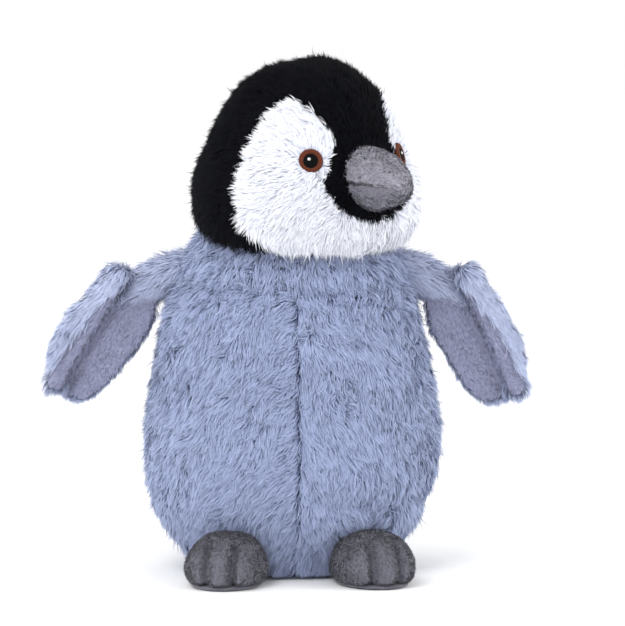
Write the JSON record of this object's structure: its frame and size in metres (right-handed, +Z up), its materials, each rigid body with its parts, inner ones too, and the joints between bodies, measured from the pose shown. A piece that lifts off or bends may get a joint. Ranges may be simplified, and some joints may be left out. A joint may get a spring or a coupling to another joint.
{
  "type": "plush penguin",
  "caption": "Standing plush penguin chick with long grey fur, black hood, white cheeks, short-pile beak, hanging flippers and three-toed feet.",
  "frame": {"origin": "on the floor, under the trunk's axis, in the middle of the base panel", "axes": "+Z up, the body faces -Y, the penguin's own left is +X"},
  "size_m": [0.2816, 0.1697, 0.293],
  "materials": {
    "blue_fur": "long soft pile, blue-grey",
    "black_fur": "long soft pile, black",
    "white_fur": "long soft pile, white",
    "beak_plush": "short brushed pile, grey",
    "foot_plush": "short brushed pile, dark grey",
    "lining_plush": "short brushed pile, lavender grey",
    "stuffing": "loose white polyester fibre",
    "thread_brown": "satin embroidery thread",
    "thread_black": "satin embroidery thread",
    "thread_white": "satin embroidery thread",
    "thread_grey": "sewing thread"
  },
  "bodies": {
    "trunk": {"belly_panel_left": "blue_fur", "belly_panel_right": "blue_fur", "back_panel_left": "blue_fur", "back_panel_right": "blue_fur", "base_panel": "blue_fur", "body_fill": "stuffing", "belly_seam_thread": "thread_grey", "closing_stitches": "thread_grey"},
    "neck": {"neck_seam": "blue_fur", "neck_fill": "stuffing"},
    "head": {"hood_left": "black_fur", "hood_right": "black_fur", "brow_mask": "black_fur", "cheek_left": "white_fur", "cheek_right": "white_fur", "head_fill": "stuffing", "beak_upper": "beak_plush", "beak_lower": "beak_plush", "beak_fill": "stuffing", "eye_left_ring": "thread_brown", "eye_left_pupil": "thread_black", "eye_left_glint": "thread_white", "eye_right_ring": "thread_brown", "eye_right_pupil": "thread_black", "eye_right_glint": "thread_white"},
    "shoulder_left": {"shoulder_seam_left": "blue_fur"},
    "flipper_left": {"flipper_left_outer": "blue_fur", "flipper_left_lining": "lining_plush", "flipper_left_fill": "stuffing"},
    "foot_left": {"foot_left_top": "foot_plush", "foot_left_sole": "foot_plush", "foot_left_fill": "stuffing", "foot_left_toe_stitches": "thread_grey"},
    "shoulder_right": {"shoulder_seam_right": "blue_fur"},
    "flipper_right": {"flipper_right_outer": "blue_fur", "flipper_right_lining": "lining_plush", "flipper_right_fill": "stuffing"},
    "foot_right": {"foot_right_top": "foot_plush", "foot_right_sole": "foot_plush", "foot_right_fill": "stuffing", "foot_right_toe_stitches": "thread_grey"}
  },
  "joints": [
    {"name": "neck_turn", "type": "hinge", "parent": "trunk", "child": "neck", "pos_m": [0, 0, 0.181], "axis": [0, 0, 1], "range_deg": [-55, 15]},
    {"name": "head_nod", "type": "hinge", "parent": "neck", "child": "head", "pos_m": [0, 0, 0.181], "axis": [0.809, 0.5878, 0], "range_deg": [-9, 9]},
    {"name": "shoulder_left_swing", "type": "hinge", "parent": "trunk", "child": "shoulder_left", "pos_m": [0.0711, 0, 0.157], "axis": [-0.2419, 0, 0.9703], "range_deg": [-25, 20]},
    {"name": "flipper_left_lift", "type": "hinge", "parent": "shoulder_left", "child": "flipper_left", "pos_m": [0.088, 0, 0.163], "axis": [0, -1, 0], "range_deg": [-2, 60]},
    {"name": "foot_left_flap", "type": "hinge", "parent": "trunk", "child": "foot_left", "pos_m": [0.036, -0.0505, 0.025], "axis": [-0.9703, -0.2419, 0], "range_deg": [-4, 14]},
    {"name": "shoulder_right_swing", "type": "hinge", "parent": "trunk", "child": "shoulder_right", "pos_m": [-0.0711, 0, 0.157], "axis": [0.2419, 0, 0.9703], "range_deg": [-20, 25]},
    {"name": "flipper_right_lift", "type": "hinge", "parent": "shoulder_right", "child": "flipper_right", "pos_m": [-0.088, 0, 0.163], "axis": [0, 1, 0], "range_deg": [-8, 55]},
    {"name": "foot_right_flap", "type": "hinge", "parent": "trunk", "child": "foot_right", "pos_m": [-0.036, -0.0505, 0.025], "axis": [-0.9703, 0.2419, 0], "range_deg": [-4, 14]}
  ]
}
